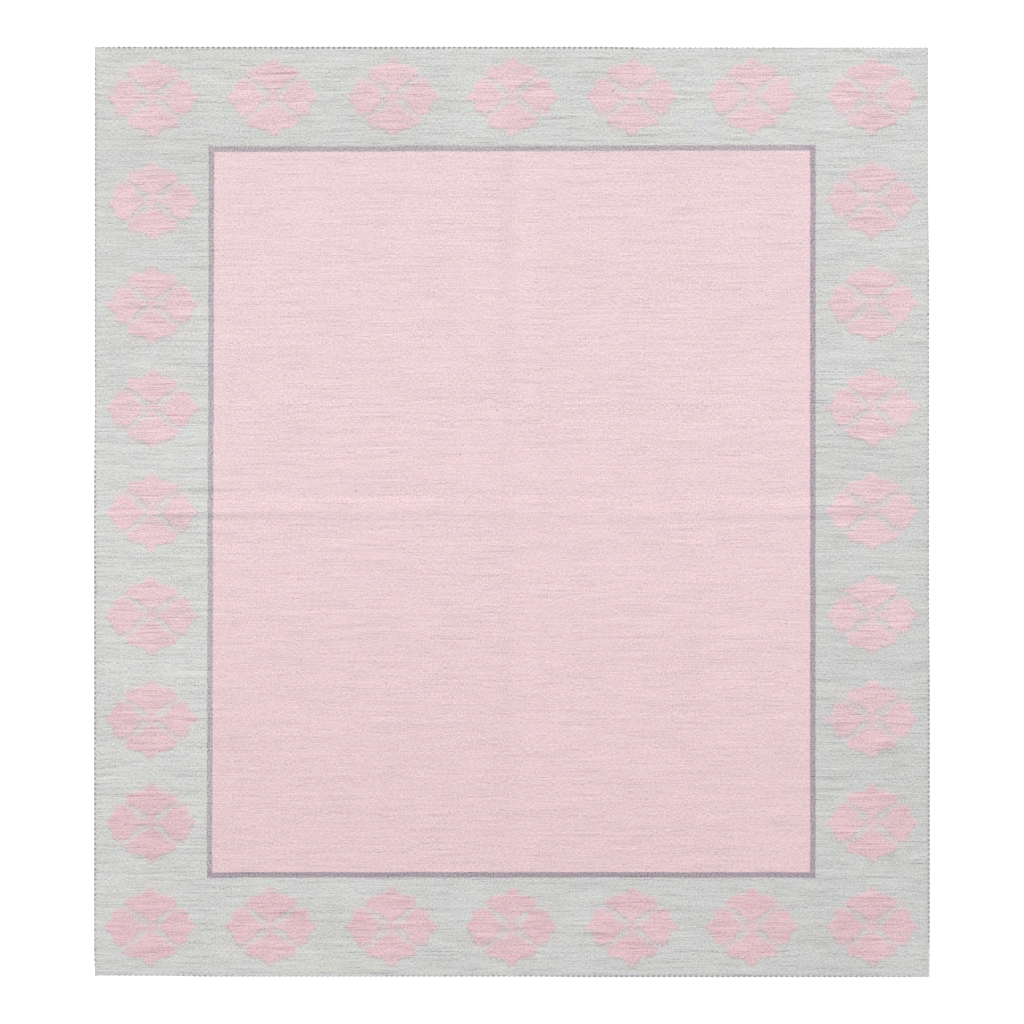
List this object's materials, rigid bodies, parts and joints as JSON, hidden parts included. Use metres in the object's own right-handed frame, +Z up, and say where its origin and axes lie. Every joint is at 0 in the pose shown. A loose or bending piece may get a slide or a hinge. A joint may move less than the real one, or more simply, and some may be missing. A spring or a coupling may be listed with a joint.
{
  "type": "flatweave rug",
  "caption": "Flat rectangular flatweave wool rug with a pink field, a thin mauve-grey band, a pale grey border of woven pink flowers and an overcast yarn edge.",
  "frame": {"origin": "on the floor, under the middle of the rug", "axes": "+X along the weft to the rug's right, +Y along the warp to the rug's head, +Z up out of the face"},
  "size_m": [2.74, 3.05, 0.0075],
  "materials": {
    "woven_wool": "matte tapestry-woven wool, pale pink field, mauve-grey band and pale grey border with pink flowers",
    "edging_yarn": "matte twisted wool yarn, dark mauve-grey"
  },
  "bodies": {
    "root": {"rug_cloth": "woven_wool", "edging_left": "edging_yarn", "edging_right": "edging_yarn", "edging_top": "edging_yarn", "edging_bottom": "edging_yarn"}
  },
  "joints": []
}
